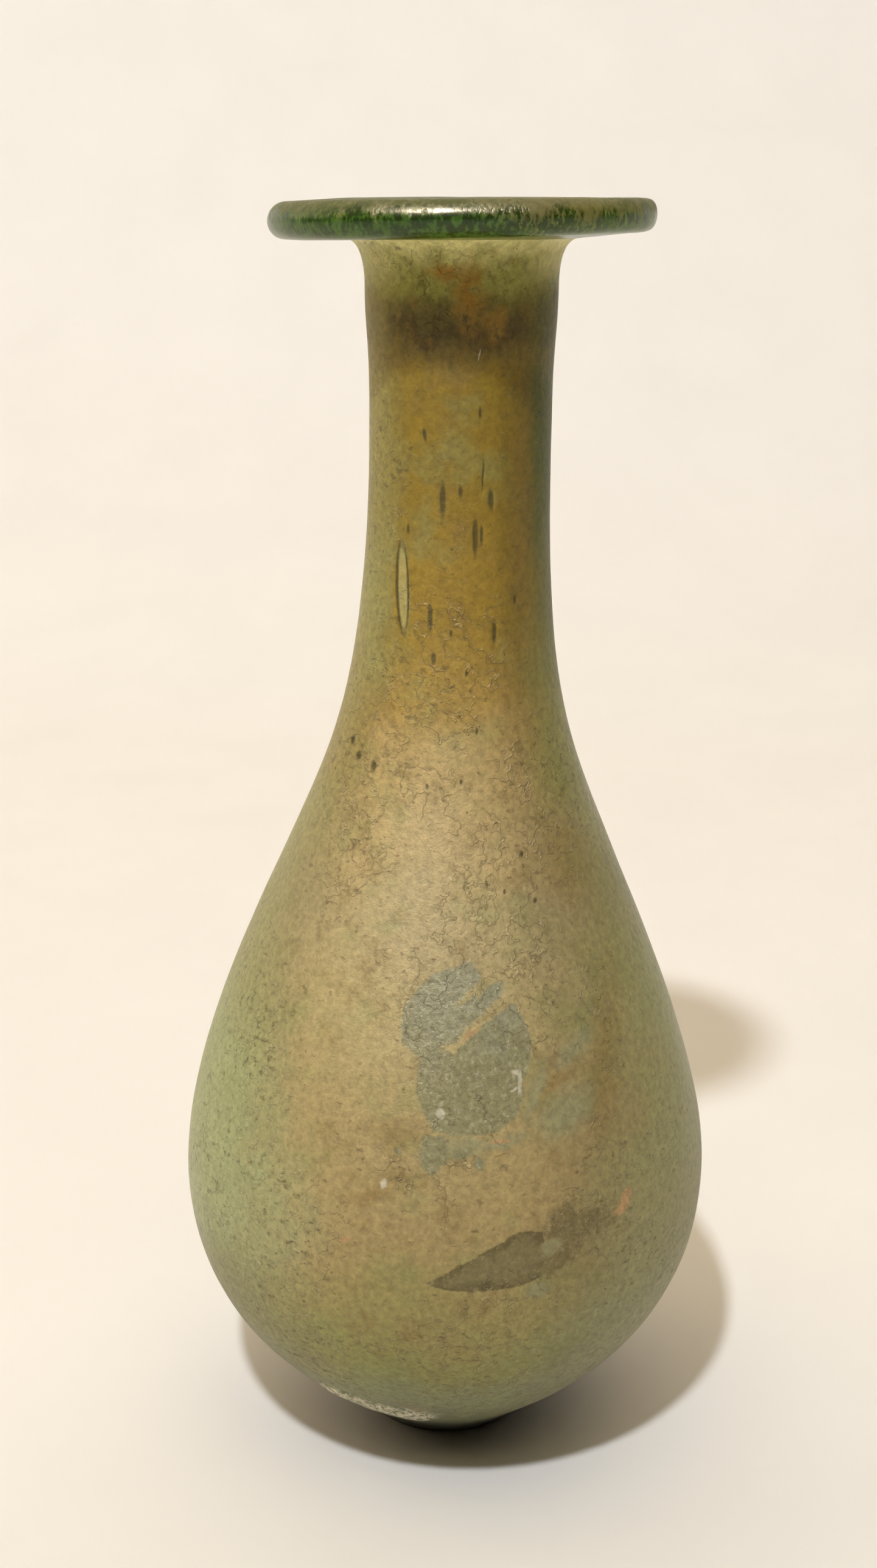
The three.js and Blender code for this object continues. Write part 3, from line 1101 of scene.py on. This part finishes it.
@dataclass(frozen=True)
class SoftLight:
    """A wide soft light that faces the flask: its place and size in millimetres, and its power in watts."""

    name: str
    place: Triple
    size: float
    strength: float
    colour: str = "#ffeac5"

    def build(self) -> None:
        """Hangs the light and leaves it active."""
        bpy.ops.object.light_add(type="AREA", location=Vector(self.place) * MM)
        light = bpy.context.object
        light.name = self.name
        light.rotation_euler = Vector(self.place).to_track_quat("Z", "Y").to_euler()
        light.data.size = self.size * MM
        light.data.energy = self.strength
        light.data.color = linear(self.colour)[:3]


@dataclass
class Studio:
    """A sweep of pale paper, a lamp, soft light from above and the left, and the camera."""

    gap: float = 0.02
    sweep_start: float = 260.0
    sweep_radius: float = 300.0
    sweep_reach: float = 1500.0
    sweep_points: int = 25
    lamp_place: Triple = (-89.3, -332.0, 560.0)
    lamp_radius: float = 17.0
    lamp_strength: float = 24.6
    lamp_colour: str = "#ecf3ff"
    ceiling: SoftLight = SoftLight("ceiling", (0.0, -120.0, 1280.0), 1700.0, 9.8)
    window: SoftLight = SoftLight("window", (-900.0, 200.0, 600.0), 700.0, 2.0)
    lamp_shade: SoftLight = SoftLight("lamp_shade", (-140.0, -332.0, 560.0), 160.0, 15.0)
    room: str = "#6a6458"
    room_glow: float = 0.05
    camera_place: Triple = (-0.7, -193.8, 128.84)
    camera_pitch: float = 16.44
    camera_lens: float = 44.66

    def build(self) -> None:
        """Makes the paper, the lights and the camera."""
        self._paper()
        self._lamp()
        for light in (self.ceiling, self.window, self.lamp_shade):
            light.build()
        # The lamp's shade, built last, is only there for the highlights
        bpy.context.object.visible_diffuse = False
        self._room()
        self._camera()

    def _paper(self) -> None:
        """Lays the paper just under the base and sweeps it up behind the flask."""
        radius = self.sweep_radius
        turns = np.linspace(-math.pi / 2, 0.0, self.sweep_points)
        bend = [(self.sweep_start + radius * math.cos(a), radius + radius * math.sin(a)) for a in turns]
        section = [(-self.sweep_reach, 0.0), *bend, (self.sweep_start + radius, self.sweep_reach)]
        corners = [Vector((-self.sweep_reach, y, z - self.gap)) * MM for y, z in section]
        sweep = draw_chain("paper_sweep", corners)
        across = (2 * self.sweep_reach * MM, 0.0, 0.0)
        bpy.ops.mesh.extrude_edges_move(TRANSFORM_OT_translate={"value": across})
        bpy.ops.object.mode_set(mode="OBJECT")
        bpy.ops.object.shade_smooth()
        sweep.data.materials.append(MattPaper().make())

    def _lamp(self) -> None:
        """Hangs the lamp in front, high and a little to the left, as bright far off as near."""
        bpy.ops.object.light_add(type="POINT", location=Vector(self.lamp_place) * MM)
        lamp = bpy.context.object
        lamp.name = "lamp"
        lamp.data.shadow_soft_size = self.lamp_radius * MM
        lamp.data.energy = self.lamp_strength
        lamp.data.color = linear(self.lamp_colour)[:3]
        lamp.data.use_nodes = True
        tree = lamp.data.node_tree
        falloff = tree.nodes.new("ShaderNodeLightFalloff")
        falloff.inputs["Strength"].default_value = 1.0
        tree.links.new(falloff.outputs["Constant"], tree.nodes["Emission"].inputs["Strength"])

    def _room(self) -> None:
        """Keeps the rest of the room dim."""
        world = bpy.data.worlds.new("dim_room")
        bpy.context.scene.world = world
        world.use_nodes = True
        room = world.node_tree.nodes["Background"]
        room.inputs["Color"].default_value = linear(self.room)
        room.inputs["Strength"].default_value = self.room_glow

    def _camera(self) -> None:
        """Sets the camera level with the rim, looking down."""
        place = Vector(self.camera_place) * MM
        bpy.ops.object.camera_add(location=place, rotation=(math.radians(90 - self.camera_pitch), 0.0, 0.0))
        camera = bpy.context.object
        camera.data.lens = self.camera_lens
        camera.data.clip_start = MM
        bpy.context.scene.camera = camera


def main() -> None:
    """Builds the flask and its studio, in order."""
    logging.basicConfig(level=logging.INFO, format="%(name)s: %(message)s")
    low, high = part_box(NODE)
    outline = Outline(height=(high.z - low.z) / MM, belly_radius=(high.x - low.x) / 2 / MM)
    Studio().build()
    flask = Flask(outline)
    wall = flask.build()
    flask.dress({
        Zone.FILM: FilmedGlass().make(),
        Zone.RIM: BareGlass().make(),
        Zone.INSIDE: DriedDeposit().make(),
    })
    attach(wall, BODY)
    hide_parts(NODE)
    LOG.info("%s: %d faces", wall.name, len(wall.data.polygons))
    bpy.context.scene.view_settings.view_transform = "Standard"


if __name__ == "__main__":
    main()
